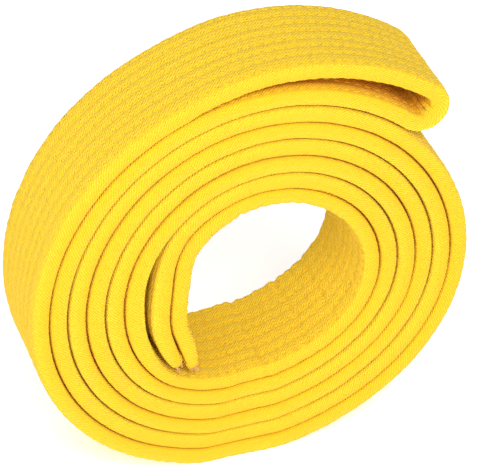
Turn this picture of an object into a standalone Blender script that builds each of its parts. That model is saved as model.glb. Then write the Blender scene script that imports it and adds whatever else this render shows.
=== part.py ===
"""A martial arts belt, folded in half and rolled up from its two ends, standing on its rim.

The belt is one long strap: a twill cover, folded lengthwise round four strips of core cloth,
with its raw edges meeting along the back edge and its ends turned in and oversewn.
The coil's axis lies along Y, its open face looks towards -Y, and it stands on Z = 0.
The strap is swept through stations: one ray from the coil's centre for each station, so that
the turns nest inside each other with the same small air gap all the way round.
All lengths below are millimetres and all angles degrees, until a mesh is made in metres.
"""

import math

import bpy
import bmesh
from mathutils import Vector

METRES_PER_MM = 0.001

# Strap
STRAP_WIDTH = 40.0
STRAP_THICKNESS = 6.05
TURN_GAP = 0.30             # air between neighbouring turns
EDGE_ROUND = 2.6            # how far the rounded edge reaches in across the width
COVER_WALL = 0.70
END_WALL = 4.5
SEAM_GAP = 0.30             # between the cover's two long edges, along the back edge
CORE_STRIPS = 4
CORE_WIDTH = 34.4
CLEARANCE = 0.30            # between separate pieces

# Coil: the line where the two halves of the folded strap touch is a spiral that is slightly
# oval and slightly three-lobed. Turned angles run clockwise, seen from -Y, from due left.
START_RADIUS = 34.24
OVAL = 2.12
OVAL_ANGLE = 21.3
LOBE = 0.86
LOBE_ANGLE = -18.1
CENTRE_HEIGHT = 72.25
FOOT_LAP = 2                # the rim rests on the floor on this lap

# The two free ends lie inside, side by side: the last stretch of both halves hangs nearly
# straight, so it runs inside the spiral at first and reaches past it at its tip
END_ANGLE = -45.7
INNER_REACH = 5.8           # how many degrees further the inner half runs
END_SPAN = 93.0             # turned angle over which the ends leave the spiral
END_LIFT = 4.1
END_FLARE = 2.9
END_FLARE_SHARE = 0.18
END_TAPER = 0.60            # thickness left at the very tip
END_PROBE = 0.5             # step to either side for the line's direction

# How the turn round the ends lies over them: turned angle, width and how far out it is pushed
END_BULGES = ((-45.0, 15.0, 2.0), (-6.0, 18.0, -1.2))
BULGE_RADIUS = 42.0
BULGE_DECAY = 6.5           # the next turns out follow it less
BULGE_FROM = 180.0          # the ends themselves, below this turned angle, are not pushed

# The fold is the coil's outer end: an open loop at the upper right
FOLD_ANGLE = 1213.7
FOLD_OPENS_AT = 1150.0
FOLD_RADIUS = 6.4
FOLD_FLATTENING = 0.12
FOLD_STEPS = 8

# Stations of one lap: close together where the rim is pressed flat, wider elsewhere
FOOT_START = 266.0
FOOT_STEP = 10.0
FOOT_STATIONS = 3
LAP_STEP = 15.0
STATION_SPACING = 2.0       # no station this near the fold or an end

# Thread at the ends
THREAD_RADIUS = 0.30
OVERSEW_SPAN = (-12.5, 15.0)
OVERSEW_STITCHES = 9
OVERSEW_REACH = 1.5
TAIL_PLACES = (-15.2, -17.6)
TAIL_LEANS = (-0.9, -0.2)   # each tail's curl through the thickness
TAIL_LENGTH = 3.8
TAIL_SPREAD = 1.6
TAIL_POINTS = 7

TWILL_YELLOW = (0.93, 0.62, 0.04)
CORE_WHITE = (0.83, 0.80, 0.72)
THREAD_YELLOW = (0.95, 0.70, 0.16)
TAIL_PINK = (0.86, 0.60, 0.44)

TURN_PITCH = STRAP_THICKNESS + TURN_GAP
LAP_GROWTH = 2.0 * TURN_PITCH


def clear_scene():
    for old in list(bpy.data.objects):
        bpy.data.objects.remove(old, do_unlink=True)


def make_material(name, colour, roughness):
    material = bpy.data.materials.new(name)
    material.use_nodes = True
    shader = material.node_tree.nodes["Principled BSDF"]
    shader.inputs["Base Color"].default_value = (*colour, 1.0)
    shader.inputs["Roughness"].default_value = roughness
    shader.inputs["Metallic"].default_value = 0.0
    return material


# ---- The coil's line ----

def polar_angle(turned):
    """Angle from +X towards +Z, in radians, of a turned angle."""
    return math.radians(180.0 - turned)


def ray(turned):
    """Unit vector from the coil's centre outwards."""
    angle = polar_angle(turned)
    return Vector((math.cos(angle), 0.0, math.sin(angle)))


def free_radius(turned):
    """Radius of the line between the two halves, before the foot is pressed flat."""
    angle = polar_angle(turned)
    oval = OVAL * math.cos(2.0 * (angle - math.radians(OVAL_ANGLE)))
    lobe = LOBE * math.cos(3.0 * (angle - math.radians(LOBE_ANGLE)))
    return START_RADIUS + LAP_GROWTH * turned / 360.0 + oval + lobe


def foot_press(turned):
    """How far every turn is pushed in where the rim lies flat on the floor."""
    downwards = -ray(turned).z
    if downwards < 0.5:
        return 0.0
    rim = free_radius(turned % 360.0 + 360.0 * FOOT_LAP) + TURN_PITCH - TURN_GAP / 2.0
    return max(0.0, rim - CENTRE_HEIGHT / downwards)


def end_angle(side):
    """Turned angle of a half's free end: side -1 is the inner half and +1 the outer half."""
    return END_ANGLE - INNER_REACH if side < 0 else END_ANGLE


def end_swing(turned):
    """How far out from the spiral the two halves lie near their free ends."""
    share = (turned - END_ANGLE) / END_SPAN
    if share >= 1.0:
        return 0.0
    flare = max(0.0, 1.0 - share / END_FLARE_SHARE)
    return END_FLARE * flare ** 2 - END_LIFT * math.sin(math.pi * share) ** 2


def end_bulge(turned, radius):
    """How far out a point of the coil is pushed where it lies over the two ends."""
    if turned < BULGE_FROM:
        return 0.0
    push = 0.0
    for place, width, amount in END_BULGES:
        away = (turned - place + 180.0) % 360.0 - 180.0
        push += amount * math.exp(-(away / width) ** 2)
    return push * math.exp(-max(0.0, radius - BULGE_RADIUS) / BULGE_DECAY)


def fold_opening(turned):
    """How far the outer half rises off the inner half on its way to the fold."""
    along = (turned - FOLD_OPENS_AT) / (FOLD_ANGLE - FOLD_OPENS_AT)
    return max(0.0, along) * (2.0 * FOLD_RADIUS - TURN_PITCH)


def between_halves(turned):
    """The line where the two halves touch."""
    return ray(turned) * (free_radius(turned) - foot_press(turned) + end_swing(turned))


def across_halves(turned):
    """Unit vector from the inner half to the outer: square to the line along the two ends."""
    out = ray(turned)
    share = (turned - END_ANGLE) / END_SPAN
    if share >= 1.0:
        return out
    onwards = between_halves(turned + END_PROBE) - between_halves(turned - END_PROBE)
    square = Vector((-onwards.z, 0.0, onwards.x)).normalized()
    weight = (1.0 - share) ** 2 * (1.0 + 2.0 * share)
    return out.lerp(square, weight).normalized()


def half_middle(turned, side):
    """Middle of one half: side -1 is the inner half and +1 the outer half."""
    middle = between_halves(turned) + across_halves(turned) * (side * TURN_PITCH / 2.0)
    if side > 0:
        middle += ray(turned) * fold_opening(turned)
    return middle


# ---- Stations: a point on the strap's middle and the direction through its thickness ----

def lap_angles():
    """Turned angles of the stations in one lap, from 0 up to 360."""
    angles = [FOOT_START + FOOT_STEP * i for i in range(FOOT_STATIONS)]
    first = angles[-1] + FOOT_STEP
    steps = round((FOOT_START + 360.0 - first) / LAP_STEP)
    angles += [first + LAP_STEP * i for i in range(steps)]
    return sorted(angle % 360.0 for angle in angles)


def inset_angle(side, inset):
    """Turned angle of a place that far in from a half's free end."""
    return end_angle(side) + math.degrees(inset / free_radius(END_ANGLE))


def half_angles(side, inset):
    """Turned angles of one half, from its end to the fold; the first is inset from the end."""
    start = inset_angle(side, inset)
    angles = [start]
    for lap in range(-1, 4):
        for angle in lap_angles():
            turned = angle + 360.0 * lap
            if start + STATION_SPACING < turned < FOLD_ANGLE - STATION_SPACING:
                angles.append(turned)
    return angles


def half_stations(side, insets):
    """Stations of one half, from its end to the fold: turned angle, middle and through."""
    angles = [inset_angle(side, inset) for inset in insets[:-1]]
    angles += half_angles(side, insets[-1])
    return [(a, half_middle(a, side), across_halves(a) * -side) for a in angles]


def fold_stations():
    """Stations round the fold, from the inner half to the outer half."""
    outwards = ray(FOLD_ANGLE)
    onwards = Vector((outwards.z, 0.0, -outwards.x))
    centre = half_middle(FOLD_ANGLE, -1) + outwards * FOLD_RADIUS
    stations = []
    for step in range(FOLD_STEPS + 1):
        angle = math.pi * step / FOLD_STEPS
        direction = onwards * math.sin(angle) - outwards * math.cos(angle)
        radius = FOLD_RADIUS * (1.0 - FOLD_FLATTENING * math.sin(angle) ** 2)
        stations.append((FOLD_ANGLE, centre + direction * radius, -direction))
    return stations


def strap_stations(insets):
    """Stations from the inner half's end, round the fold, to the outer half's end."""
    inner = half_stations(-1, insets)
    outer = half_stations(1, insets)
    return inner + fold_stations() + outer[::-1]


# ---- Sections, as (across the width, through the thickness) ----

def edge_arc(side, reach, half_thickness, angles):
    """Points round one rounded edge; side -1 is the front edge and +1 the back edge."""
    middle = STRAP_WIDTH / 2.0 - EDGE_ROUND
    radians = [math.radians(angle) for angle in angles]
    if side < 0:
        reach /= max(math.cos(a) for a in radians)
    return [(side * (middle + reach * math.cos(a)), half_thickness * math.sin(a)) for a in radians]


def cover_section():
    """Outer points from one lip of the seam round the front edge to the other, then inner."""
    half = STRAP_THICKNESS / 2.0
    lip = SEAM_GAP / 2.0
    back = STRAP_WIDTH / 2.0
    outer = [(back, lip)] + edge_arc(1, EDGE_ROUND, half, (50.0, 90.0))
    outer += edge_arc(-1, EDGE_ROUND, half, (90.0, 54.0, 18.0, -18.0, -54.0, -90.0))
    outer += edge_arc(1, EDGE_ROUND, half, (-90.0, -50.0)) + [(back, -lip)]
    reach = EDGE_ROUND - COVER_WALL
    half -= COVER_WALL
    back -= COVER_WALL
    inner = [(back, -lip)] + edge_arc(1, reach, half, (-90.0,))
    inner += edge_arc(-1, reach, half, (-90.0, -30.0, 30.0, 90.0))
    inner += edge_arc(1, reach, half, (90.0,)) + [(back, lip)]
    return outer, inner


def core_layers():
    """Middle of each core strip through the thickness, and the strips' thickness."""
    room = STRAP_THICKNESS - 2.0 * COVER_WALL - CLEARANCE
    pitch = room / CORE_STRIPS
    thickness = pitch - CLEARANCE
    middles = [(i - (CORE_STRIPS - 1) / 2.0) * pitch for i in range(CORE_STRIPS)]
    return middles, thickness


# ---- Meshes ----

def section_point(station, across, depth):
    """A point of the strap's section at one station."""
    turned, middle, through = station
    point = middle + through * depth
    point += ray(turned) * end_bulge(turned, point.length)
    return point + Vector((0.0, across, 0.0))


def add_ring(mesh, station, section, taper=1.0):
    points = [section_point(station, across, depth * taper) for across, depth in section]
    return [mesh.verts.new(point * METRES_PER_MM) for point in points]


def join_rings(mesh, ring, following, closed):
    count = len(ring)
    last = count if closed else count - 1
    for i in range(last):
        j = (i + 1) % count
        mesh.faces.new((ring[i], ring[j], following[j], following[i]))


def finish_object(mesh, name, material, parent):
    bmesh.ops.triangulate(mesh, faces=[f for f in mesh.faces if len(f.verts) > 4])
    bmesh.ops.recalc_face_normals(mesh, faces=mesh.faces)
    data = bpy.data.meshes.new(name)
    mesh.to_mesh(data)
    mesh.free()
    data.shade_smooth()
    data.set_sharp_from_angle(angle=math.radians(40.0))
    return place_object(data, name, material, parent)


def place_object(data, name, material, parent):
    data.materials.append(material)
    piece = bpy.data.objects.new(name, data)
    bpy.context.scene.collection.objects.link(piece)
    piece.parent = parent
    return piece


def make_cover(material, parent):
    """The folded cover: a shell open along its back seam, with a solid wall at each end."""
    stations = strap_stations((0.0, END_WALL))
    outer_section, inner_section = cover_section()
    mesh = bmesh.new()
    outer = [add_ring(mesh, s, outer_section) for s in stations[1:-1]]
    outer.insert(0, add_ring(mesh, stations[0], outer_section, END_TAPER))
    outer.append(add_ring(mesh, stations[-1], outer_section, END_TAPER))
    inner = [add_ring(mesh, s, inner_section) for s in stations[1:-1]]
    for ring, following in zip(outer[1:-1], outer[2:-1]):
        join_rings(mesh, ring, following, closed=False)
    for ring, following in zip(inner, inner[1:]):
        join_rings(mesh, ring, following, closed=False)
    # The two lips of the seam, from the cavity out to the back edge
    hollow = list(zip(outer[1:-1], inner))
    for (out_a, in_a), (out_b, in_b) in zip(hollow, hollow[1:]):
        mesh.faces.new((out_a[-1], out_b[-1], in_b[0], in_a[0]))
        mesh.faces.new((in_a[-1], in_b[-1], out_b[0], out_a[0]))
    # Each end wall: its rim, its face on the outside and its face towards the cavity
    for tip, shoulder, lining in ((outer[0], outer[1], inner[0]), (outer[-1], outer[-2], inner[-1])):
        join_rings(mesh, tip, shoulder, closed=True)
        mesh.faces.new(tip)
        mesh.faces.new([shoulder[-1]] + lining + [shoulder[0]])
    return finish_object(mesh, "cover", material, parent)


def make_core_strip(index, middle, thickness, material, parent):
    """One strip of core cloth, running the whole length inside the cover."""
    stations = strap_stations((END_WALL + CLEARANCE,))
    half_width = CORE_WIDTH / 2.0
    low = middle - thickness / 2.0
    high = middle + thickness / 2.0
    section = [(-half_width, low), (half_width, low), (half_width, high), (-half_width, high)]
    mesh = bmesh.new()
    rings = [add_ring(mesh, s, section) for s in stations]
    for ring, following in zip(rings, rings[1:]):
        join_rings(mesh, ring, following, closed=True)
    mesh.faces.new(rings[0])
    mesh.faces.new(rings[-1])
    return finish_object(mesh, "core_strip_%d" % index, material, parent)


def make_thread(name, points, material, parent):
    """A length of sewing thread through the given points."""
    curve = bpy.data.curves.new(name, "CURVE")
    curve.dimensions = "3D"
    curve.bevel_depth = THREAD_RADIUS * METRES_PER_MM
    curve.bevel_resolution = 1
    curve.use_fill_caps = True
    spline = curve.splines.new("POLY")
    spline.points.add(len(points) - 1)
    for target, point in zip(spline.points, points):
        target.co = (*(point * METRES_PER_MM), 1.0)
    return place_object(curve, name, material, parent)


def end_frame(side):
    """The middle of an end's face, the way out of it and the way through its thickness."""
    end = end_angle(side)
    through = across_halves(end)
    beyond = Vector((-through.z, 0.0, through.x))
    middle = half_middle(end, side) + beyond * (CLEARANCE + THREAD_RADIUS)
    return middle, beyond, through


def make_oversewing(name, side, material, parent):
    """Zigzag stitching across an end that holds the turned-in cover shut."""
    middle, beyond, through = end_frame(side)
    low, high = OVERSEW_SPAN
    count = 2 * OVERSEW_STITCHES
    points = []
    for i in range(count + 1):
        across = low + (high - low) * i / count
        depth = OVERSEW_REACH if i % 2 else -OVERSEW_REACH
        points.append(middle + through * depth + Vector((0.0, across, 0.0)))
    return make_thread(name, points, material, parent)


def make_tail(name, side, across, lean, material, parent):
    """A loose end of the oversewing thread, curling out at the front corner."""
    middle, beyond, through = end_frame(side)
    points = []
    for i in range(TAIL_POINTS):
        t = i / (TAIL_POINTS - 1)
        forwards = Vector((0.0, across - TAIL_SPREAD * t, 0.0))
        curl = through * (lean * TAIL_SPREAD * t * t)
        points.append(middle + forwards + curl + beyond * (TAIL_LENGTH * math.sin(1.2 * t)))
    return make_thread(name, points, material, parent)


def centre_offset():
    """X of the coil's centre that puts the middle of the coil's length over the origin."""
    half = STRAP_THICKNESS / 2.0
    stations = strap_stations((0.0,))
    points = [section_point(s, 0.0, depth).x for s in stations for depth in (-half, half)]
    return -(min(points) + max(points)) / 2.0


def build():
    clear_scene()
    coil = bpy.data.objects.new("coil_centre", None)
    bpy.context.scene.collection.objects.link(coil)
    coil.location = Vector((centre_offset(), 0.0, CENTRE_HEIGHT)) * METRES_PER_MM
    twill = make_material("twill_cover", TWILL_YELLOW, 0.75)
    core = make_material("core_cloth", CORE_WHITE, 0.9)
    thread = make_material("sewing_thread", THREAD_YELLOW, 0.6)
    frayed = make_material("frayed_thread", TAIL_PINK, 0.7)
    make_cover(twill, coil)
    middles, thickness = core_layers()
    for index, middle in enumerate(middles, start=1):
        make_core_strip(index, middle, thickness, core, coil)
    for word, side in (("inner", -1), ("outer", 1)):
        make_oversewing("%s_end_oversewing" % word, side, thread, coil)
        for number, across in enumerate(TAIL_PLACES):
            name = "%s_end_thread_tail_%d" % (word, number + 1)
            make_tail(name, side, across, TAIL_LEANS[number], frayed, coil)
    bpy.context.view_layer.update()


build()
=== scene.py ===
"""Looks of a martial arts belt that is folded in half and rolled up, standing on its rim.

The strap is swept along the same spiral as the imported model's, but finely: the quilting's
channels, the puffs between its rows, the creases inside the coil, the stitches, the oversewn
ends and the frayed threads are all geometry. The weave's ribs are in the materials.
Only the two free ends differ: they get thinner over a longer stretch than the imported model's.
Lengths are millimetres and angles degrees, until a mesh is made in metres.
"""

import math

import bpy
import numpy as np
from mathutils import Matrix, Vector


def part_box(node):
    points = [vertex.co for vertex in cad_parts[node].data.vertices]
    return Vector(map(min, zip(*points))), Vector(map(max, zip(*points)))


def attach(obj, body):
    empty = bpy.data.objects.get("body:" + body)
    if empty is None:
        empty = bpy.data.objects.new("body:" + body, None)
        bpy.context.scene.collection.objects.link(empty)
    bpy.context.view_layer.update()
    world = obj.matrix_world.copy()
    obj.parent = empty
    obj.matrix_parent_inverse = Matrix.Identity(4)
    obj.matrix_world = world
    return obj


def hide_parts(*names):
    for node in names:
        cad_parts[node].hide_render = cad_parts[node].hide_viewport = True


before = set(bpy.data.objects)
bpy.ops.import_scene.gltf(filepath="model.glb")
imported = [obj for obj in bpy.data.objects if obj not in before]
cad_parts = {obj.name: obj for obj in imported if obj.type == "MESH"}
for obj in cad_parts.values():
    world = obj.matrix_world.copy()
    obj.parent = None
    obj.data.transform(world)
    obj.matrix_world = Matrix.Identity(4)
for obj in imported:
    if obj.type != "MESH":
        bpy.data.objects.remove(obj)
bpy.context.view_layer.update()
METRES = 0.001

# ---- The model's own dimensions ----
STRAP_WIDTH = 40.0
STRAP_THICKNESS = 6.05
TURN_GAP = 0.30
EDGE_ROUND = 2.6
EDGE_POWER = 2.8            # 2 is an ellipse; higher is squarer
TURN_PITCH = STRAP_THICKNESS + TURN_GAP
LAP_GROWTH = 2.0 * TURN_PITCH
START_RADIUS = 34.24
OVAL = 2.12
OVAL_ANGLE = 21.3
LOBE = 0.86
LOBE_ANGLE = -18.1
CENTRE_HEIGHT = 72.25
FOOT_LAP = 2
END_ANGLE = -45.7
INNER_REACH = 5.8           # degrees that the inner half runs on past the outer one
END_SPAN = 93.0
END_LIFT = 4.1
END_FLARE = 2.9
END_FLARE_SHARE = 0.18
END_TAPER = 0.60
END_TAPER_LENGTH = 15.0     # the ends get thinner over this length
# How far each half moves out as it gets thinner, in shares of what it loses
INNER_LEAN = 1.9
OUTER_LEAN = -0.1
END_PROBE = 0.5
# The turn round the ends is pushed out or in: turned angle, width and amount
END_BULGES = ((-45.0, 15.0, 2.0), (-6.0, 18.0, -1.2))
BULGE_RADIUS = 42.0
BULGE_DECAY = 6.5
BULGE_FROM = 180.0
FOLD_ANGLE = 1213.7
FOLD_OPENS_AT = 1150.0
FOLD_RADIUS = 6.4
FOLD_FLATTENING = 0.12
LAP = 360.0

# ---- Sewing ----
ROW_PLACES = (-17.6, -12.5, -7.5, -2.5, 2.5, 7.5, 12.5, 17.6)   # across the width
ROW_COLUMNS = (-1.65, -0.8, 0.0, 0.8, 1.65, 2.5)                 # the mesh's columns at each row
STITCH = 3.8                # from one needle hole to the next
CHANNEL_DEPTH = 0.38        # how far a row of stitches pulls the cover in
CHANNEL_WIDTH = 0.85
THREAD_RADIUS = 0.27
ROW_STAGGER = 0.37          # how far each row's needle holes are out of step with the last one's
HOLE_PULL = 0.45            # share of a channel's depth that is only there at the needle holes
PUFF_WIDTH = 1.7            # from a row to where the cloth beside it is full again
PUFF = 0.10
PUFF_WHERE_SHOWN = 0.24
PUFF_DIP = 0.20             # how far a puff sinks level with the needle holes
ROW_WANDER = 0.28
STITCH_LENGTH = 0.94        # share of the way from hole to hole
STITCH_RISE = 0.12
STITCH_DIVE = 0.58
STITCH_LEAN = 0.10
STITCH_TAPER = 0.45
STITCH_WIDE = 1.15          # a stitch is pressed a little flat
STITCH_THICK = 0.85
STITCH_FREE_END = 4.0       # no stitches this close to the free ends
STITCH_SHOWS = 0.02         # share of showing from which a stitch is modelled finely
SHOWN_STITCH = (7, 6)       # rings along a stitch and sides round it
HIDDEN_STITCH = (2, 4)

# ---- Sampling of the sweep ----
LINE_STEP = 0.25
SMOOTHING = 1.4
FINE_STEP = 0.95            # between stations where a face of the strap shows
PLAIN_STEP = 1.9            # where only its edges show
TIP_LENGTH = 2.4            # the closed end's rounded part
TIP_STATIONS = (0.0, 0.1, 0.35, 0.75, 1.2, 1.8)
EDGE_COLUMNS = (0.85, 0.52, 0.18, -0.18, -0.52, -0.85)   # shares of the way round an edge
CAP_DEPTH = 0.30            # share of the thickness that is left at the very end
CAP_DRAW_IN = 1.3           # how far the edges draw in there

# ---- How the cloth departs from its plain section ----
SHOW_FADE = 4.0             # degrees over which a face comes into view
FOLD_SHOW_FADE = 8.0
RIPPLE = 3.6                # from one small ripple to the next on the innermost turn
RIPPLE_DEPTH = 0.50
HEM_LENGTH = (8.0, 10.5)    # where the turned-in cover ends
HEM_THICKNESS = 0.35
FOLD_BULK = 2.3             # cloth bunched up inside the fold
FOLD_BULK_PLACE = 0.45      # share of the way round the fold, and how wide
FOLD_BULK_WIDTH = 0.24
FOLD_PUFF = 1.3             # the fold's outer face, fuller than the plain section
FOLD_PUFF_PLACE = 0.55
FOLD_PUFF_WIDTH = 0.28
END_PUFF = 0.9              # the outer end's half, fuller where it stands clear of the next turn
END_PUFF_PLACE = -4.0
END_PUFF_WIDTH = 24.0
CLOSE_FROM = 15.5           # beyond this, across the width, neighbouring turns nearly touch
CLOSER = 0.07
PUCKER_FROM = 14.0          # creases draw the edges in, beyond this across the width
PUCKER_DRAW = 0.45
# Wandering of the whole strap along Y and roughness of its surface: amount and length
SWAYS = ((0.40, 75.0), (0.10, 11.0))
FINE_WRINKLES = (0.10, 6.5)
SHORT_WRINKLES = (0.05, 2.1)
EDGE_PUCKERS = ((0.20, 3.3), (0.13, 1.3))
EDGE_STITCH_PULL = 0.14

# ---- Core cloth ----
CORE_STRIPS = 4
CORE_WIDTH = 34.4
CORE_ROOM = 2.9             # all the strips together, through the strap
CORE_GAP = 0.15
CORE_END = 2.6
CORE_STEP = 2.4

# ---- Oversewing and frayed threads at the two ends ----
WHIP_SPAN = (-18.9, 18.9)
WHIP_PITCH = 1.5
WHIP_REACH = 3.0
WHIP_SLANT = 0.9
WHIP_RADIUS = 0.22
WHIP_ANGLES = (90.0, 62.0, 34.0, 12.0, -12.0, -34.0, -62.0, -90.0)   # round the closed end
WHIP_CLEAR = 0.12           # how far the stitches' middles are off the cover
FRAY_PLIES = 7
FRAY_PLACES = (-16.4, -18.0)
FRAY_DEPTHS = (0.9, -0.9)
FRAY_LENGTH = 2.4
FRAY_RADIUS = 0.22

# ---- Weave and colours ----
TWILL_PITCH = 0.85
YARN_PITCH = 1.3
DASH_PITCH = 1.7
DASH_LENGTH = 2.5
YARN_SLANT = 1.6
# Places round the section, from the back edge's inside, where the broad faces' colour and the painted
# shade inside the fold set in and end
BROAD_FACE_STARTS = (41.0, 44.0)
FOLD_SHADE_STARTS = (0.5, 3.0)
FOLD_SHADE_ENDS = (33.0, 37.0)
YELLOW = (0.93, 0.610, 0.020, 1.0)
YELLOW_DEEP = (0.91, 0.560, 0.012, 1.0)
# Painted shade for the twill's grooves, between the raised dashes and where the yarn lies lower
YELLOW_PAINTED_SHADE = (0.72, 0.36, 0.003, 1.0)
YELLOW_BROAD = (0.92, 0.69, 0.035, 1.0)
# Painted shade: the deep orange that shade and light bounced about inside the fold give its face
ORANGE_FOLD_SHADE = (0.95, 0.36, 0.001, 1.0)
YELLOW_WORN = (0.94, 0.73, 0.10, 1.0)
THREAD_LIGHT = (0.92, 0.62, 0.02, 1.0)
THREAD_DARK = (0.78, 0.44, 0.006, 1.0)
FRAY_LIGHT = (0.95, 0.66, 0.30, 1.0)
FRAY_DARK = (0.50, 0.14, 0.008, 1.0)
CORE_LIGHT = (0.83, 0.80, 0.72, 1.0)
CORE_DARK = (0.55, 0.52, 0.44, 1.0)
FLOOR_WHITE = (0.97, 0.97, 0.97, 1.0)
FLOOR_WARM = (0.95, 0.95, 0.945, 1.0)

# ---- Light ----
WORLD_STRENGTH = 0.64
# Name, azimuth, elevation, distance and size in metres, power
LAMPS = (
    ("key", -16.0, 42.0, 1.3, 0.6, 6.8),
    ("fill", 6.0, 48.0, 1.6, 0.6, 10.8),
    ("side", -60.0, 20.0, 1.4, 0.8, 5.5),
)
FLOOR_GLOW = 0.30
FLOOR_SIZE = 3000.0

# ---- Camera ----
AZIMUTH = -18.5
ELEVATION = 35.43
DISTANCE = 987.7
LOOK_AT = (-4.758, -20.0, 95.10)
LENS = 224.07


# ---- Smooth random curves, the same on every run ----

def soft_noise(place, seed):
    """A smooth random curve between -1 and 1, one value a unit of place."""
    place = np.asarray(place, float)
    low = int(np.floor(place.min())) - 1
    count = int(np.ceil(place.max())) + 3 - low
    values = np.random.default_rng(seed).uniform(-1.0, 1.0, count)
    cell = np.floor(place).astype(int)
    t = place - cell
    t = t * t * (3.0 - 2.0 * t)
    return values[cell - low] * (1.0 - t) + values[cell - low + 1] * t


def smooth_step(x, start, end):
    t = np.clip((x - start) / (end - start), 0.0, 1.0)
    return t * t * (3.0 - 2.0 * t)


# ---- The coil's line, in the plane of X and Z from the coil's centre ----

def ray(turned):
    angle = np.radians(180.0 - turned)
    return np.stack([np.cos(angle), np.sin(angle)], axis=-1)


def free_radius(turned):
    angle = np.radians(180.0 - turned)
    oval = OVAL * np.cos(2.0 * (angle - math.radians(OVAL_ANGLE)))
    lobe = LOBE * np.cos(3.0 * (angle - math.radians(LOBE_ANGLE)))
    return START_RADIUS + LAP_GROWTH * turned / LAP + oval + lobe


def foot_press(turned):
    downwards = -ray(turned)[..., 1]
    rim = free_radius(np.mod(turned, LAP) + LAP * FOOT_LAP) + TURN_PITCH - TURN_GAP / 2.0
    press = rim - CENTRE_HEIGHT / np.maximum(downwards, 0.5)
    return np.where(downwards < 0.5, 0.0, np.maximum(press, 0.0))


def end_swing(turned):
    """How far out from the spiral the two halves lie near their free ends."""
    share = np.clip((turned - END_ANGLE) / END_SPAN, None, 1.0)
    flare = np.maximum(0.0, 1.0 - share / END_FLARE_SHARE)
    return END_FLARE * flare ** 2 - END_LIFT * np.sin(math.pi * share) ** 2


def end_bulge(turned, radius):
    """How far out a point is pushed where its turn lies over the two ends."""
    push = np.zeros(np.shape(turned))
    for place, width, amount in END_BULGES:
        away = np.mod(turned - place + LAP / 2.0, LAP) - LAP / 2.0
        push = push + amount * np.exp(-(away / width) ** 2)
    push = push * np.exp(-np.maximum(0.0, radius - BULGE_RADIUS) / BULGE_DECAY)
    return np.where(turned < BULGE_FROM, 0.0, push)


def fold_opening(turned):
    along = (turned - FOLD_OPENS_AT) / (FOLD_ANGLE - FOLD_OPENS_AT)
    return np.maximum(0.0, along) * (2.0 * FOLD_RADIUS - TURN_PITCH)


def between_halves(turned):
    """The line where the two halves touch."""
    return ray(turned) * (free_radius(turned) - foot_press(turned) + end_swing(turned))[..., None]


def across_halves(turned):
    """Unit vectors from the inner half to the outer one."""
    out = ray(turned)
    share = np.clip((turned - END_ANGLE) / END_SPAN, None, 1.0)[..., None]
    onwards = between_halves(turned + END_PROBE) - between_halves(turned - END_PROBE)
    square = np.stack([-onwards[..., 1], onwards[..., 0]], axis=-1)
    square /= np.linalg.norm(square, axis=-1, keepdims=True)
    weight = (1.0 - share) ** 2 * (1.0 + 2.0 * share)
    across = out + (square - out) * weight
    return across / np.linalg.norm(across, axis=-1, keepdims=True)


def half_middle(turned, side):
    middle = between_halves(turned) + across_halves(turned) * (side * TURN_PITCH / 2.0)
    if side > 0:
        middle = middle + ray(turned) * fold_opening(turned)[..., None]
    return middle


def half_line(side):
    """One half of the strap from its free end to the fold, as rows of x, z, through and turned."""
    turned = np.linspace(END_ANGLE - (INNER_REACH if side < 0 else 0.0), FOLD_ANGLE, 6000)
    return np.column_stack([half_middle(turned, side), across_halves(turned) * -side, turned])


def fold_line():
    """The fold, from the inner half to the outer half."""
    out = ray(np.array(FOLD_ANGLE))
    onwards = np.array([out[1], -out[0]])
    centre = half_middle(np.array(FOLD_ANGLE), -1) + out * FOLD_RADIUS
    angle = np.linspace(0.0, math.pi, 200)[1:-1]
    direction = np.outer(np.sin(angle), onwards) - np.outer(np.cos(angle), out)
    radius = FOLD_RADIUS * (1.0 - FOLD_FLATTENING * np.sin(angle) ** 2)
    middle = centre + direction * radius[:, None]
    return np.column_stack([middle, -direction, np.full(len(angle), FOLD_ANGLE)])


def smoothed(values, reach):
    """Values along the line, averaged over a Gaussian of that reach in samples."""
    half = int(4 * reach)
    kernel = np.exp(-0.5 * (np.arange(-half, half + 1) / reach) ** 2)
    kernel /= kernel.sum()
    before = 2 * values[0] - values[half:0:-1]
    after = 2 * values[-1] - values[-2:-half - 2:-1]
    return np.convolve(np.concatenate([before, values, after]), kernel, mode="valid")


class StrapLine:
    """The middle line of the strap by length along it, from the inner half's end to the outer's."""

    def __init__(self):
        inner = half_line(-1)
        outer = half_line(1)[::-1]
        rows = np.vstack([inner, fold_line(), outer])
        along = self.lengths(rows)
        self.fold_start = along[len(inner) - 1]
        self.fold_end = along[-len(outer)]
        self.length = along[-1]
        self.along = np.linspace(0.0, self.length, int(self.length / LINE_STEP) + 1)
        columns = [np.interp(self.along, along, rows[:, i]) for i in range(5)]
        reach = SMOOTHING / LINE_STEP
        self.x, self.z, self.tx, self.tz = [smoothed(c, reach) for c in columns[:4]]
        self.turned = columns[4]

    @staticmethod
    def lengths(rows):
        steps = np.hypot(*np.diff(rows[:, :2], axis=0).T)
        return np.concatenate([[0.0], np.cumsum(steps)])

    def at(self, along):
        """Middle and through direction, each as x and z; past the ends the line runs on straight."""
        inside = np.clip(along, 0.0, self.length)
        middle = np.array([np.interp(inside, self.along, c) for c in (self.x, self.z)])
        through = np.array([np.interp(inside, self.along, c) for c in (self.tx, self.tz)])
        through /= np.hypot(*through)
        onwards = np.array([through[1], -through[0]])
        return (*(middle + onwards * (along - inside)), *through)

    def turned_at(self, along):
        return np.interp(along, self.along, self.turned)

    def along_at(self, turned):
        """Length along the inner half at a turned angle."""
        inner = self.along < self.fold_start
        return np.interp(turned, self.turned[inner], self.along[inner])


LINE = StrapLine()


# ---- How the strap's surface departs from its plain section ----

def hole_wall(along):
    """1 on the innermost turn, whose face is squeezed shorter along its length."""
    inner, lapped = along < LINE.fold_start, LAP + END_ANGLE
    return inner * (1.0 - smooth_step(LINE.turned_at(along), lapped - SHOW_FADE, lapped))


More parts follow.
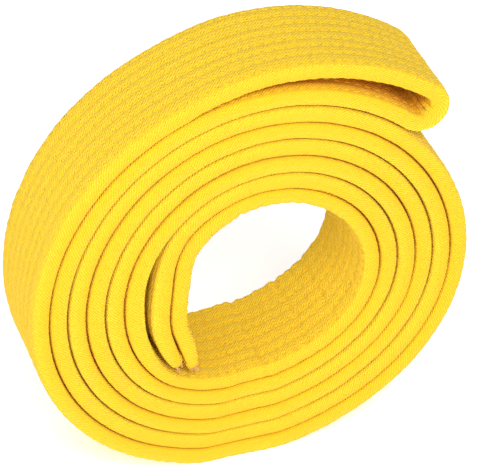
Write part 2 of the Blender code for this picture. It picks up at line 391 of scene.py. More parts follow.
def outside_shows(along):
    """1 where the face that is outermost at the fold can be seen: in the hole and on the rim."""
    rim = FOLD_ANGLE - LAP
    on_rim = (along > LINE.fold_end) * smooth_step(LINE.turned_at(along), rim, rim + SHOW_FADE)
    in_fold = (along >= LINE.fold_start) * (along <= LINE.fold_end)
    return np.maximum(hole_wall(along), np.maximum(on_rim, in_fold))


def inside_shows(along):
    """1 where the face inside the fold can be seen, in the fold's open loop."""
    turned = LINE.turned_at(along)
    return smooth_step(turned, FOLD_OPENS_AT - SHOW_FADE, FOLD_OPENS_AT + FOLD_SHOW_FADE)


# Creases straight across the innermost turn: turned angle, depth and width
HOLE_CREASES = (
    (202.0, 0.40, 1.1), (219.5, 0.75, 1.2), (228.0, 0.30, 0.9), (239.0, 0.80, 1.2),
    (247.0, 0.50, 1.0), (257.0, 0.28, 0.9), (267.0, 0.50, 1.0), (280.0, 0.45, 1.0),
    (293.0, 0.45, 1.0), (150.0, 0.40, 1.0), (118.0, 0.45, 1.1), (76.0, 0.40, 1.0),
    (34.0, 0.45, 1.1), (3.0, 0.35, 1.0), (174.0, 0.30, 1.0),
)
# Creases inside the fold: share of the way round it, depth and width
FOLD_CREASES = ((0.22, 0.8, 0.7), (0.46, 1.3, 0.8), (0.70, 1.0, 0.7))


def crease_depth(along):
    """How deep the creases across the innermost turn are."""
    depth = np.zeros_like(along)
    for turned, deep, wide in HOLE_CREASES:
        depth += deep * np.exp(-((along - LINE.along_at(turned)) / wide) ** 2)
    ripple = 0.5 + 0.5 * np.cos(2.0 * math.pi * along / RIPPLE + 2.0 * soft_noise(along / 9.0, 5))
    return depth + RIPPLE_DEPTH * ripple * (0.6 + 0.4 * soft_noise(along / 6.0, 6)) * hole_wall(along)


def fold_share(along):
    return (along - LINE.fold_start) / (LINE.fold_end - LINE.fold_start)


def inner_fold_shape(along):
    """How far the cloth stands in from the plain section on the inside of the fold."""
    share = fold_share(along)
    inside = (share > -0.5) & (share < 1.5)
    bulk = FOLD_BULK * np.exp(-((share - FOLD_BULK_PLACE) / FOLD_BULK_WIDTH) ** 2)
    length = LINE.fold_end - LINE.fold_start
    for place, deep, wide in FOLD_CREASES:
        bulk = bulk - deep * np.exp(-((share - place) * length / wide) ** 2)
    return np.where(inside, bulk, 0.0)


def fold_puff(along):
    """How much fuller the fold's outer face is than the plain section."""
    away = (fold_share(along) - FOLD_PUFF_PLACE) / FOLD_PUFF_WIDTH
    return FOLD_PUFF * np.exp(-away ** 2)


def end_puff(along):
    """How much fuller the outer half is where it stands clear of the next turn."""
    away = (LINE.turned_at(along) - END_PUFF_PLACE) / END_PUFF_WIDTH
    return END_PUFF * np.exp(-away ** 2) * (along > LINE.fold_end)


def hem(along):
    """1 on the last few millimetres, where the cover is turned in."""
    from_end = np.minimum(along, LINE.length - along)
    return 1.0 - smooth_step(from_end, *HEM_LENGTH)


def row_shift(along, row):
    """How far a row of stitches wanders across the width."""
    return ROW_WANDER * soft_noise(along / 28.0 + 13.0 * row, 40 + row)


def edge_shift(along):
    """How far the whole strap is out of line with its neighbours, along Y."""
    return sum(amount * soft_noise(along / length, 71 + i)
               for i, (amount, length) in enumerate(SWAYS))


def needle_pull(along, row):
    """1 at a row's needle holes, and less between them."""
    return 0.5 + 0.5 * np.cos(2.0 * math.pi * (along / STITCH + ROW_STAGGER * row))


def channel_depth(along, row):
    """How far a row of stitches pulls the cover in, most of all at its needle holes."""
    return CHANNEL_DEPTH * (1.0 - HOLE_PULL + HOLE_PULL * needle_pull(along, row))


# ---- The strap's section ----

def edge_normal(past, level):
    """Outward normal of the section's outline, from shares of the edge's reach and half depth."""
    power = EDGE_POWER - 1.0
    across = math.copysign(abs(past) ** power, past) / EDGE_ROUND
    through = math.copysign(abs(level) ** power, level) / (STRAP_THICKNESS / 2.0)
    return Vector((across, through)).normalized()


def section_columns():
    """The columns round the strap: across, depth, the outward normal's two parts, row, offset."""
    half = STRAP_THICKNESS / 2.0
    flat = STRAP_WIDTH / 2.0 - EDGE_ROUND
    face = []
    for row, place in enumerate(ROW_PLACES):
        for offset in ROW_COLUMNS:
            if abs(place + offset) < STRAP_WIDTH / 2.0 - 0.3:
                face.append((place + offset, row, offset))
    columns = []
    for sign in (1.0, -1.0):
        for across, row, offset in (face if sign < 0 else face[::-1]):
            past = max(0.0, abs(across) - flat) / EDGE_ROUND
            level = (1.0 - past ** EDGE_POWER) ** (1.0 / EDGE_POWER)
            normal = edge_normal(math.copysign(past, across), sign * level)
            columns.append((across, sign * half * level, normal.x, normal.y, row, offset))
        edge = -sign
        first = math.acos(((abs(columns[-1][0]) - flat) / EDGE_ROUND) ** (EDGE_POWER / 2.0))
        for share in EDGE_COLUMNS:
            angle = share * first
            past = math.cos(angle) ** (2.0 / EDGE_POWER)
            level = math.copysign(abs(math.sin(angle)) ** (2.0 / EDGE_POWER), sign * share)
            normal = edge_normal(edge * past, level)
            across = edge * (flat + EDGE_ROUND * past)
            columns.append((across, half * level, normal.x, normal.y, -1, 0.0))
    return np.array(columns).T


def surface_offset(along, across, normal_depth, row, offset):
    """Displacement outwards of one column of the cover at all stations."""
    outside = normal_depth < 0.0
    shows = outside_shows(along) if outside else inside_shows(along)
    face = abs(normal_depth) ** 2
    shift = np.zeros_like(along)
    if row >= 0:
        near = math.exp(-(offset / CHANNEL_WIDTH) ** 2)
        pull = channel_depth(along, row)
        between = 1.0 - math.exp(-(offset / PUFF_WIDTH) ** 2)
        puff = PUFF + PUFF_WHERE_SHOWN * shows * (0.6 + 0.5 * soft_noise(along / 2.4, 100 + row))
        puff = puff - PUFF_DIP * shows * needle_pull(along, row + 0.5 * (offset > 0))
        shift += between * puff - near * pull
    amount, length = FINE_WRINKLES
    fine = amount * soft_noise(along / length + across * 0.21, 300 + int(across * 4) % 17)
    amount, length = SHORT_WRINKLES
    wrinkle = amount * soft_noise(along / length + across * 0.13, 400 + int(across * 2) % 13)
    shift += (fine + wrinkle) * (0.45 + 0.55 * shows) * (1.0 - 0.4 * face)
    (amount, length), (short_amount, short_length) = EDGE_PUCKERS
    pucker = amount * soft_noise(along / length, 600 + int(across > 0))
    pucker = pucker + short_amount * soft_noise(along / short_length, 610 + int(across * 9) % 7)
    if abs(across) > CLOSE_FROM:
        shift += CLOSER * face
    stitched = EDGE_STITCH_PULL * needle_pull(along, 0 if across < 0 else len(ROW_PLACES) - 1)
    shift += (pucker - stitched) * (1.0 - face) ** 2
    if outside:
        shift -= crease_depth(along) * face * hole_wall(along)
        shift += HEM_THICKNESS * hem(along) * face
        shift += (end_puff(along) + fold_puff(along)) * face
    return shift


def edge_puckers(along, across):
    """How far the rounded edges draw in towards the middle at the creases of the innermost turn."""
    beyond = max(0.0, abs(across) - PUCKER_FROM) / (STRAP_WIDTH / 2.0 - PUCKER_FROM)
    return -math.copysign(PUCKER_DRAW * beyond, across) * crease_depth(along) * hole_wall(along)


def tip_shape(along):
    """The closed end's section: scale of the depth, and how far the edges draw in."""
    from_end = np.minimum(along, LINE.length - along)
    x = np.clip(1.0 - from_end / TIP_LENGTH, 0.0, 1.0)
    full = np.sqrt(1.0 - x * x)
    return CAP_DEPTH + (1.0 - CAP_DEPTH) * full, CAP_DRAW_IN * (1.0 - full)


def station_places():
    """Lengths along the line for the cover's stations."""
    fine = np.maximum(outside_shows(LINE.along), inside_shows(LINE.along))
    fine = smoothed(fine, 8.0 / LINE_STEP)
    step = PLAIN_STEP + (FINE_STEP - PLAIN_STEP) * np.clip(fine, 0.0, 1.0)
    count = np.concatenate([[0.0], np.cumsum(np.diff(LINE.along) / step[1:])])
    ticks = np.linspace(0.0, count[-1], int(count[-1]) + 1)
    places = np.interp(ticks, count, LINE.along)
    middle = places[(places > TIP_LENGTH) & (places < LINE.length - TIP_LENGTH)]
    tip = np.array(TIP_STATIONS)
    return np.concatenate([tip, middle, (LINE.length - tip)[::-1]])


def flattened(along, depth):
    """Depth near the free ends, which get thinner and lean together against the next turn."""
    from_end = np.minimum(along, LINE.length - along)
    thinner = (1.0 - END_TAPER) * np.clip(1.0 - from_end / END_TAPER_LENGTH, 0.0, 1.0) ** 2
    lean = np.where(along < LINE.length / 2.0, INNER_LEAN, -OUTER_LEAN)
    return depth * (1.0 - thinner) + lean * thinner * STRAP_THICKNESS / 2.0


def place_points(along, across, depth, edge_in=0.0):
    """Points in the row frame, in millimetres, from places along, across and through the strap."""
    x, z, through_x, through_z = LINE.at(along)
    depth = flattened(along, depth)
    drawn_in = np.sign(across) * edge_in * np.minimum(1.0, np.abs(across) / 12.0)
    y = across - drawn_in + edge_shift(along)
    x = x + through_x * depth
    z = z + through_z * depth
    turned = LINE.turned_at(along)
    push = ray(turned) * end_bulge(turned, np.hypot(x, z))[..., None]
    z = z + push[..., 1] + CENTRE_HEIGHT
    return np.stack([x + push[..., 0] + CENTRE_X, y, np.maximum(z, 0.0)], axis=-1)


def coil_centre_x():
    """X of the coil's centre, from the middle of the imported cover's box."""
    low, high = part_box("cover")
    half = STRAP_THICKNESS / 2.0
    edges = np.concatenate([LINE.x + LINE.tx * half, LINE.x - LINE.tx * half])
    return (low.x + high.x) / 2.0 / METRES - (edges.min() + edges.max()) / 2.0


CENTRE_X = coil_centre_x()


# ---- Meshes ----

def make_piece(name, points, quads, material, uv=None):
    """An object of quads from points in millimetres, its faces turned outwards."""
    points = np.asarray(points, float).reshape(-1, 3)
    quads = np.asarray(quads, int).reshape(-1, 4)
    a, b, c, d = (points[quads[:, i]] for i in range(4))
    volume = np.einsum("ij,ij->i", a, np.cross(b, c)) + np.einsum("ij,ij->i", a, np.cross(c, d))
    if volume.sum() < 0.0:
        quads = quads[:, ::-1]
        uv = None if uv is None else uv[:, ::-1]
    data = bpy.data.meshes.new(name)
    data.vertices.add(len(points))
    data.vertices.foreach_set("co", (points * METRES).astype(np.float32).ravel())
    data.loops.add(quads.size)
    data.loops.foreach_set("vertex_index", quads.astype(np.int32).ravel())
    data.polygons.add(len(quads))
    data.polygons.foreach_set("loop_start", np.arange(0, quads.size, 4, dtype=np.int32))
    if uv is not None:
        layer = data.uv_layers.new(name="cloth")
        layer.data.foreach_set("uv", (uv * METRES).astype(np.float32).ravel())
    data.update(calc_edges=True)
    data.validate()
    data.shade_smooth()
    data.materials.append(material)
    piece = bpy.data.objects.new(name, data)
    bpy.context.scene.collection.objects.link(piece)
    return piece


def grid_quads(rows, columns, closed):
    """Quads between neighbouring rings, as indices into rings laid one after another."""
    i = np.arange(rows - 1)[:, None]
    j = np.arange(columns if closed else columns - 1)[None, :]
    k = (j + 1) % columns
    near, far = i * columns, (i + 1) * columns
    return np.stack([near + j, near + k, far + k, far + j], -1)


def sweep_uv(along, around):
    """UV of each quad's corners: length along the strap and length round its section."""
    i = np.arange(len(along) - 1)[:, None]
    j = np.arange(len(around) - 1)[None, :]
    corner = [(i, j), (i, j + 1), (i + 1, j + 1), (i + 1, j)]
    shape = (len(along) - 1, len(around) - 1)
    parts = [np.stack([np.broadcast_to(along[a], shape), np.broadcast_to(around[b], shape)], -1)
             for a, b in corner]
    return np.stack(parts, axis=2)


def end_cap(count, front):
    """Quads that close a ring between its facing columns, from the front edge to the back edge."""
    i = np.arange(count // 2 - 1)
    return np.stack([front - i, front - i - 1, front + i + 2, front + i + 1], -1) % count


def make_cover(material):
    """The quilted cover: one closed skin, with its two ends turned in."""
    along = station_places()
    across, depth, normal_across, normal_depth, row, offset = section_columns()
    count = len(across)
    depth_scale, edge_in = tip_shape(along)
    rings = np.zeros((len(along), count, 3))
    for j in range(count):
        out = surface_offset(along, across[j], normal_depth[j], int(row[j]), offset[j])
        shift = row_shift(along, int(row[j])) if row[j] >= 0 else 0.0
        side = across[j] + normal_across[j] * out + shift + edge_puckers(along, across[j])
        bulk = inner_fold_shape(along) * min(1.0, 1.6 * max(0.0, normal_depth[j]))
        through = (depth[j] + normal_depth[j] * out + bulk) * depth_scale
        rings[:, j] = place_points(along, side, through, edge_in)
    quads = grid_quads(len(along), count, closed=True).reshape(-1, 4)
    outline = np.column_stack([np.append(across, across[0]), np.append(depth, depth[0])])
    around = np.concatenate([[0.0], np.cumsum(np.hypot(*np.diff(outline, axis=0).T))])
    uv = sweep_uv(along, around).reshape(-1, 4, 2)
    cap = end_cap(count, count // 4 - 1)
    cap_uv = np.stack([across[cap], depth[cap]], -1)
    last = cap[:, ::-1] + (len(along) - 1) * count
    quads = np.vstack([quads, cap, last])
    uv = np.concatenate([uv, cap_uv, cap_uv[:, ::-1]])
    return make_piece("quilted_cover", rings, quads, material, uv)


def make_core_strip(number, material):
    """One of the four layers of core cloth inside the cover."""
    along = np.arange(CORE_END, LINE.length - CORE_END, CORE_STEP)
    pitch = CORE_ROOM / CORE_STRIPS
    middle = (number - (CORE_STRIPS + 1) / 2.0) * pitch
    half = (pitch - CORE_GAP) / 2.0
    across = np.array([-1.0, -0.33, 0.33, 1.0]) * CORE_WIDTH / 2.0
    section = [(a, middle - half) for a in across] + [(a, middle + half) for a in across[::-1]]
    rings = np.stack([place_points(along, np.full_like(along, a), d) for a, d in section], axis=1)
    count = len(section)
    quads = grid_quads(len(along), count, closed=True).reshape(-1, 4)
    a, d = np.array(section + section[:1]).T
    around = np.concatenate([[0.0], np.cumsum(np.hypot(np.diff(a), np.diff(d)))])
    uv = sweep_uv(along, around).reshape(-1, 4, 2)
    cap = np.array([(0, 7, 6, 1), (1, 6, 5, 2), (2, 5, 4, 3)])
    cap_uv = np.stack([a[cap], d[cap]], -1)
    last = cap[:, ::-1] + (len(along) - 1) * count
    quads = np.vstack([quads, cap, last])
    uv = np.concatenate([uv, cap_uv, cap_uv[:, ::-1]])
    return make_piece("core_layer_%d" % number, rings, quads, material, uv)


# ---- Threads ----

def thread_floor(along, row, sign):
    """Depth of the cover's surface at the bottom of a row's channel."""
    depth = STRAP_THICKNESS / 2.0 - channel_depth(along, row)
    if abs(ROW_PLACES[row]) > STRAP_WIDTH / 2.0 - EDGE_ROUND:
        depth = depth - 0.02
    if sign > 0:
        return depth + inner_fold_shape(along)
    depth = depth - crease_depth(along) * hole_wall(along)
    return depth + HEM_THICKNESS * hem(along) + fold_puff(along)


def stitch_middles(row, sign, wanted):
    """Lengths along the strap of the middles of one row's stitches that show, or that don't."""
    count = int(LINE.length / STITCH)
    middles = (np.arange(1, count) + 0.5 - ROW_STAGGER * row) * STITCH
    middles = middles[(middles > STITCH_FREE_END) & (middles < LINE.length - STITCH_FREE_END)]
    shows = inside_shows(middles) if sign > 0 else outside_shows(middles)
    return middles[(shows > STITCH_SHOWS) == wanted]


def stitch_rings(row, sign, wanted, steps, sides):
    """Rings round every stitch of one row: they rise out of one needle hole and dive into the next."""
    middles = stitch_middles(row, sign, wanted)
    u = np.linspace(-1.0, 1.0, steps)
    along = middles[:, None] + u[None, :] * STITCH * STITCH_LENGTH / 2.0
    lift = STITCH_RISE - STITCH_DIVE * np.abs(u) ** 3
    lean = STITCH_LEAN * u + 0.06 * soft_noise(middles / 3.0, 500 + row)[:, None]
    depth = thread_floor(along, row, sign) + lift
    across = ROW_PLACES[row] + row_shift(along, row) + lean
    radius = THREAD_RADIUS * (1.0 - STITCH_TAPER * np.abs(u) ** 4)
    angle = 2.0 * math.pi * (np.arange(sides) + 0.5) / sides
    rings = np.zeros((len(middles), steps, sides, 3))
    for k in range(sides):
        side = across + STITCH_WIDE * radius * math.cos(angle[k])
        through = depth + STITCH_THICK * radius * math.sin(angle[k])
        rings[:, :, k] = place_points(along, side, sign * through)
    return rings


def chain_quads(count, steps, sides):
    """Quads of many separate tubes with capped ends, each of the same number of rings and sides."""
    one = grid_quads(steps, sides, closed=True).reshape(-1, 4)
    last = (steps - 1) * sides
    caps = np.array([(3, 2, 1, 0)] if sides == 4 else [(5, 4, 1, 0), (4, 3, 2, 1)])
    one = np.vstack([one, caps, caps[:, ::-1] + last])
    return (one[None] + (np.arange(count) * steps * sides)[:, None, None]).reshape(-1, 4)


def make_quilting(name, wanted, steps, sides, material):
    """Every row's stitches on both faces of the strap, as one piece."""
    lines = [(row, sign) for row in range(len(ROW_PLACES)) for sign in (1.0, -1.0)]
    tubes = [stitch_rings(row, sign, wanted, steps, sides) for row, sign in lines]
    rings = np.concatenate([t if i % 2 else t[:, :, ::-1] for i, t in enumerate(tubes)])
    quads = chain_quads(len(rings), steps, sides)
    uv = tube_uv(len(rings), steps, sides, len(quads) // len(rings))
    return make_piece(name, rings, quads, material, uv)


def tube_uv(count, steps, sides, quads_each):
    """UV for tubes: length along, then length round, in millimetres."""
    along = np.arange(steps) * 0.6
    around = np.arange(sides + 1) * 2.0 * math.pi * THREAD_RADIUS / sides
    one = sweep_uv(along, around).reshape(-1, 4, 2)
    flat = np.zeros((quads_each - len(one), 4, 2))
    return np.tile(np.concatenate([one, flat]), (count, 1, 1))


def tube(points, radii, sides=6):
    """Rings of a tube through points, turning as little as it can from one to the next."""
    points = np.asarray(points, float)
    tangents = np.gradient(points, axis=0)
    tangents /= np.linalg.norm(tangents, axis=1)[:, None]
    side = np.cross(tangents[0], (0.3, 0.9, 0.2))
    rings = []
    angle = 2.0 * math.pi * np.arange(sides) / sides
    for point, tangent, radius in zip(points, tangents, np.broadcast_to(radii, len(points))):
        side = side - tangent * side.dot(tangent)
        side /= np.linalg.norm(side)
        other = np.cross(tangent, side)
        outwards = np.outer(np.cos(angle), side) + np.outer(np.sin(angle), other)
        rings.append(point + radius * outwards)
    return np.array(rings)


def from_end(distance, end):
    """Length along the strap of a place that far in from one of its ends."""
    return distance if end == "inner" else LINE.length - distance


def make_oversewing(end, material):
    """Whip stitches round the closed end, from one face over the tip to the other."""
    count = int((WHIP_SPAN[1] - WHIP_SPAN[0]) / WHIP_PITCH)
    rng = np.random.default_rng(900 if end == "inner" else 901)
    angles = np.radians(WHIP_ANGLES)
    half = STRAP_THICKNESS / 2.0
    tubes = []
    for i in range(count):
        start = WHIP_SPAN[0] + (i + 0.5) * WHIP_PITCH + rng.uniform(-0.2, 0.2)
        reach = WHIP_REACH + rng.uniform(-0.5, 0.5)
        x = TIP_LENGTH - (TIP_LENGTH + 0.16) * np.cos(angles)
        level = CAP_DEPTH + (1.0 - CAP_DEPTH) * np.abs(np.sin(angles))
        d = np.sign(angles) * (half * level + WHIP_CLEAR)
        x = np.concatenate([[reach + 0.5, reach], x, [reach, reach + 0.5]])
        d = np.concatenate([[half - 0.35, half + 0.30], d, [-half - 0.40, -half + 0.2]])
        a = start + WHIP_SLANT * np.linspace(-0.5, 0.5, len(x)) + rng.uniform(-0.08, 0.08, len(x))
        points = place_points(from_end(x, end), a, d)
        tubes.append(tube(points, WHIP_RADIUS))
    rings = np.array(tubes)
    steps, sides = rings.shape[1:3]
    quads = chain_quads(count, steps, sides)
    uv = tube_uv(count, steps, sides, len(quads) // count)
    return make_piece("%s_end_whip_stitches" % end, rings, quads, material, uv)


def make_frayed_thread(end, number, material):
    """The loose end of a sewing thread: plies that come apart and curl away from the corner."""
    rng = np.random.default_rng(950 + number + (10 if end == "inner" else 0))
    t = np.linspace(0.0, 1.0, 12)
    tubes = []
    for ply in range(FRAY_PLIES):
        turn = 2.0 * math.pi * ply / FRAY_PLIES
        spread = 0.15 + 0.95 * t ** 2
        length = FRAY_LENGTH * rng.uniform(0.55, 1.0)
        bend = rng.uniform(-0.9, 0.9, 2)
        x = 1.6 - length * np.sin(1.1 * t) + bend[0] * t ** 2
        a = FRAY_PLACES[number - 1] - 1.7 * t - 0.9 * t ** 2 + spread * np.cos(turn + 7.0 * t)
        d = FRAY_DEPTHS[number - 1] * (1.0 + 0.5 * t) + spread * np.sin(turn + 7.0 * t)
        points = place_points(from_end(x, end), a, d + bend[1] * t ** 3)
        tubes.append(tube(points, FRAY_RADIUS * (1.0 - 0.6 * t ** 3)))
    rings = np.array(tubes)
    steps, sides = rings.shape[1:3]
    quads = chain_quads(FRAY_PLIES, steps, sides)
    uv = tube_uv(FRAY_PLIES, steps, sides, len(quads) // FRAY_PLIES)
    return make_piece("%s_end_frayed_thread_%d" % (end, number), rings, quads, material, uv)


# ---- Materials ----

class Shading:
    """A new material, with short ways to add nodes and join them."""

    def __init__(self, name):
        self.material = bpy.data.materials.new(name)
        self.material.use_nodes = True
        self.tree = self.material.node_tree
        self.shader = self.tree.nodes["Principled BSDF"]

    def join(self, source, target):
        if isinstance(source, bpy.types.NodeSocket):
            self.tree.links.new(source, target)
        else:
            target.default_value = source

    def add(self, kind, **inputs):
        node = self.tree.nodes.new(kind)
        for name, value in inputs.items():
            self.join(value, node.inputs[name.replace("_", " ")])
        return node

    def maths(self, operation, *values):
        node = self.tree.nodes.new("ShaderNodeMath")
        node.operation = operation
        for value, socket in zip(values, node.inputs):
            self.join(value, socket)
        return node.outputs[0]

    def cloth_place(self):
        """Length along the cloth and across it, in millimetres."""
        place = self.tree.nodes.new("ShaderNodeUVMap")
        place.uv_map = "cloth"
        parts = self.add("ShaderNodeSeparateXYZ", Vector=place.outputs[0])
        u, v = (self.maths("DIVIDE", parts.outputs[i], METRES) for i in (0, 1))
        return place.outputs[0], u, v

    def wave(self, place, pitch):
        """A sine of the place, from 0 to 1, one wave to a pitch."""
        turns = self.maths("MULTIPLY", place, 2.0 * math.pi / pitch)
        return self.maths("MULTIPLY_ADD", self.maths("SINE", turns), 0.5, 0.5)

    def ramp(self, value, start, end, top=1.0):
        """0 up to the start, and the top value from the end on."""
        node = self.add("ShaderNodeMapRange", Value=value, From_Min=start, From_Max=end, To_Max=top)
        return node.outputs[0]

    def noise(self, vector, scale, detail=2.0):
        node = self.add("ShaderNodeTexNoise", Vector=vector, Scale=scale, Detail=detail)
        return node.outputs["Fac"]

    def mix(self, share, first, second):
        node = self.tree.nodes.new("ShaderNodeMix")
        node.data_type = "RGBA"
        for index, value in ((0, share), (6, first), (7, second)):
            self.join(value, node.inputs[index])
        return node.outputs[2]

    def bump(self, height, distance, strength=1.0, normal=None):
        node = self.add("ShaderNodeBump", Height=height, Distance=distance, Strength=strength)
        if normal is not None:
            self.join(normal, node.inputs["Normal"])
        return node.outputs["Normal"]

    def finish(self, colour, roughness, normal, sheen, sheen_tint=(1.0, 1.0, 1.0, 1.0)):
        self.join(colour, self.shader.inputs["Base Color"])
        self.join(roughness, self.shader.inputs["Roughness"])
        self.join(normal, self.shader.inputs["Normal"])
        self.shader.inputs["Sheen Weight"].default_value = sheen
        self.shader.inputs["Sheen Tint"].default_value = sheen_tint
        self.shader.inputs["Sheen Roughness"].default_value = 0.45
        self.shader.inputs["Specular IOR Level"].default_value = 0.12
        return self.material


def twill(name):
    """Cotton twill: fine diagonal ribs of twisted yarn, a little uneven in dye and wear, with painted
    shade in its grooves, between its dashes and inside the fold.
    """
    s = Shading(name)
    uv, u, v = s.cloth_place()
    wander = s.maths("MULTIPLY", s.noise(uv, 260.0), 0.8)
    rib_place = s.maths("ADD", s.maths("ADD", u, v), wander)
    ribs = s.wave(rib_place, TWILL_PITCH * math.sqrt(2.0))
    yarn = s.wave(s.maths("SUBTRACT", u, s.maths("MULTIPLY", v, YARN_SLANT)), YARN_PITCH)
    height = s.maths("MULTIPLY", ribs, s.maths("MULTIPLY_ADD", yarn, 0.35, 0.65))
    fuzz = s.noise(uv, 4200.0, 3.0)
    height = s.maths("MULTIPLY_ADD", fuzz, 0.5, height)
    stretched = s.add("ShaderNodeMapping", Vector=uv, Scale=(0.30, 1.0, 1.0))
    slubs = s.noise(stretched.outputs[0], 1500.0, 2.0)
    slubs = s.maths("MULTIPLY_ADD", s.maths("SUBTRACT", slubs, 0.5), 2.2, 0.5)
    # Broad faces show short raised dashes between the rows of sewing
    face = s.ramp(v, *BROAD_FACE_STARTS)
    bend = s.maths("MULTIPLY", s.noise(uv, 160.0), 1.6)
    across = s.wave(s.maths("ADD", v, bend), DASH_PITCH)
    dashes = s.wave(s.maths("ADD", u, s.maths("MULTIPLY", bend, 2.0)), DASH_LENGTH)
    dashes = s.maths("MULTIPLY", across, dashes)
    dashes = s.maths("MULTIPLY", dashes, face)
    height = s.maths("MULTIPLY_ADD", dashes, 0.8, height)
    height = s.maths("MULTIPLY_ADD", slubs, 0.45, height)
    patches = s.noise(uv, 38.0, 3.0)
    colour = s.mix(s.maths("MULTIPLY_ADD", patches, 0.9, -0.1), YELLOW_DEEP, YELLOW)
    colour = s.mix(s.maths("MULTIPLY", face, 0.75), colour, YELLOW_BROAD)
    # Painted shade: the face inside the fold is painted the deep orange of the shade and bounced light
    # in the fold's hollow
    enter = s.ramp(v, *FOLD_SHADE_STARTS)
    leave = s.ramp(v, *FOLD_SHADE_ENDS)
    inside = s.maths("MULTIPLY", enter, s.maths("SUBTRACT", 1.0, leave))
    colour = s.mix(inside, colour, ORANGE_FOLD_SHADE)
    # Painted shade in the grooves between the twill's ribs
    colour = s.mix(s.maths("MULTIPLY", s.maths("SUBTRACT", 1.0, ribs), 0.60), colour, YELLOW_PAINTED_SHADE)
    # Painted shade between the raised dashes on the broad faces
    shade = s.maths("MULTIPLY", s.maths("SUBTRACT", face, dashes), 0.14)
    colour = s.mix(shade, colour, YELLOW_PAINTED_SHADE)
    # Painted shade where the uneven yarn lies lower
    colour = s.mix(s.ramp(slubs, 0.5, 0.0, 0.30), colour, YELLOW_PAINTED_SHADE)
    colour = s.mix(s.maths("MULTIPLY", fuzz, 0.12), colour, YELLOW_WORN)
    roughness = s.maths("MULTIPLY_ADD", ribs, -0.12, 0.86)
    return s.finish(colour, roughness, s.bump(height, 0.00032, 1.0), 0.22, (1.0, 0.80, 0.28, 1.0))


def sewing_thread(name, light, dark):
    """Twisted thread: its plies wind round it."""
    s = Shading(name)
    uv, u, v = s.cloth_place()
    plies = s.wave(s.maths("ADD", u, s.maths("MULTIPLY", v, 1.4)), 0.55)
    hairs = s.noise(uv, 5000.0)
    colour = s.mix(s.maths("MULTIPLY_ADD", hairs, 0.5, s.maths("MULTIPLY", plies, 0.5)), dark, light)
    roughness = s.maths("MULTIPLY_ADD", hairs, 0.2, 0.5)
    return s.finish(colour, roughness, s.bump(plies, 0.00006, 0.8), 0.05)


def plain_weave(name):
    """Unbleached core cloth in a plain over-and-under weave."""
    s = Shading(name)
    uv, u, v = s.cloth_place()
    warp = s.wave(u, 1.1)
    weft = s.wave(v, 1.1)
    height = s.maths("MULTIPLY", warp, weft)
    slubs = s.noise(uv, 300.0, 3.0)
    share = s.maths("MULTIPLY_ADD", height, 0.6, s.maths("MULTIPLY", slubs, 0.4))
    colour = s.mix(share, CORE_DARK, CORE_LIGHT)
    return s.finish(colour, s.maths("MULTIPLY_ADD", slubs, 0.1, 0.85), s.bump(height, 0.00015), 0.2)


def floor_paper(name):
    """The matt white paper that the belt stands on."""
    s = Shading(name)
    place = s.tree.nodes.new("ShaderNodeTexCoord").outputs["Object"]
    fibres = s.noise(place, 90.0, 4.0)
    colour = s.mix(fibres, FLOOR_WHITE, FLOOR_WARM)
    s.shader.inputs["Emission Color"].default_value = (1.0, 1.0, 1.0, 1.0)
    s.shader.inputs["Emission Strength"].default_value = FLOOR_GLOW
    return s.finish(colour, 0.9, s.bump(fibres, 0.0001, 0.2), 0.0)


# ---- Floor, light and camera ----

def make_floor():
    size = FLOOR_SIZE
    points = [(-size, -size, 0.0), (size, -size, 0.0), (size, size, 0.0), (-size, size, 0.0)]
    floor = make_piece("floor", points, [(0, 1, 2, 3)], floor_paper("floor_paper"))


def direction(azimuth, elevation):
    """Unit vector from the belt towards a place round it."""
    a, e = math.radians(azimuth), math.radians(elevation)
    return Vector((math.sin(a) * math.cos(e), -math.cos(a) * math.cos(e), math.sin(e)))


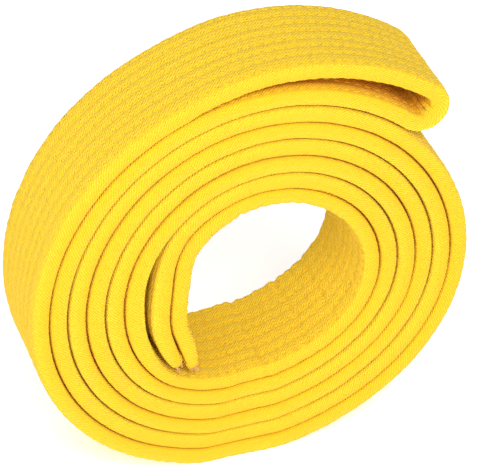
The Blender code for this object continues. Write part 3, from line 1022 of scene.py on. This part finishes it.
def make_light(name, azimuth, elevation, distance, size, power):
    """A soft square lamp that looks at the belt's middle."""
    data = bpy.data.lights.new(name, "AREA")
    data.size = size
    data.energy = power
    lamp = bpy.data.objects.new(name, data)
    bpy.context.scene.collection.objects.link(lamp)
    away = direction(azimuth, elevation)
    lamp.location = Vector((0.0, 0.0, CENTRE_HEIGHT * METRES)) + away * distance
    lamp.rotation_mode = "QUATERNION"
    lamp.rotation_quaternion = (-away).to_track_quat("-Z", "Y")


def make_world():
    world = bpy.data.worlds.new("studio")
    world.use_nodes = True
    background = world.node_tree.nodes["Background"]
    background.inputs["Color"].default_value = (1.0, 1.0, 1.0, 1.0)
    background.inputs["Strength"].default_value = WORLD_STRENGTH
    bpy.context.scene.world = world


def make_camera():
    data = bpy.data.cameras.new("camera")
    data.lens = LENS
    data.clip_start = 0.01
    data.clip_end = 20.0
    camera = bpy.data.objects.new("camera", data)
    bpy.context.scene.collection.objects.link(camera)
    away = direction(AZIMUTH, ELEVATION)
    camera.location = (Vector(LOOK_AT) + away * DISTANCE) * METRES
    camera.rotation_mode = "QUATERNION"
    camera.rotation_quaternion = (-away).to_track_quat("-Z", "Y")
    bpy.context.scene.camera = camera


# ---- The whole scene ----

def build():
    make_world()
    make_camera()
    for lamp in LAMPS:
        make_light(*lamp)
    make_floor()
    bpy.context.scene.view_settings.view_transform = "Standard"

    cover = make_cover(twill("yellow_twill"))
    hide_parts("cover")
    pieces = [cover]

    core = plain_weave("core_cloth_weave")
    for number in range(1, CORE_STRIPS + 1):
        strip = make_core_strip(number, core)
        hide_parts("core_strip_%d" % number)
        pieces.append(strip)

    thread = sewing_thread("yellow_thread", THREAD_LIGHT, THREAD_DARK)
    shown = make_quilting("quilting_stitches", True, *SHOWN_STITCH, thread)
    hidden = make_quilting("quilting_stitches_between_turns", False, *HIDDEN_STITCH, thread)
    pieces += [shown, hidden]

    frayed = sewing_thread("pale_frayed_thread", FRAY_LIGHT, FRAY_DARK)
    for end in ("inner", "outer"):
        whip = make_oversewing(end, thread)
        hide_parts("%s_end_oversewing" % end)
        pieces.append(whip)
        for number in (1, 2):
            tail = make_frayed_thread(end, number, frayed)
            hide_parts("%s_end_thread_tail_%d" % (end, number))
            pieces.append(tail)
    for piece in pieces:
        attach(piece, "root")


build()
bpy.context.view_layer.update()
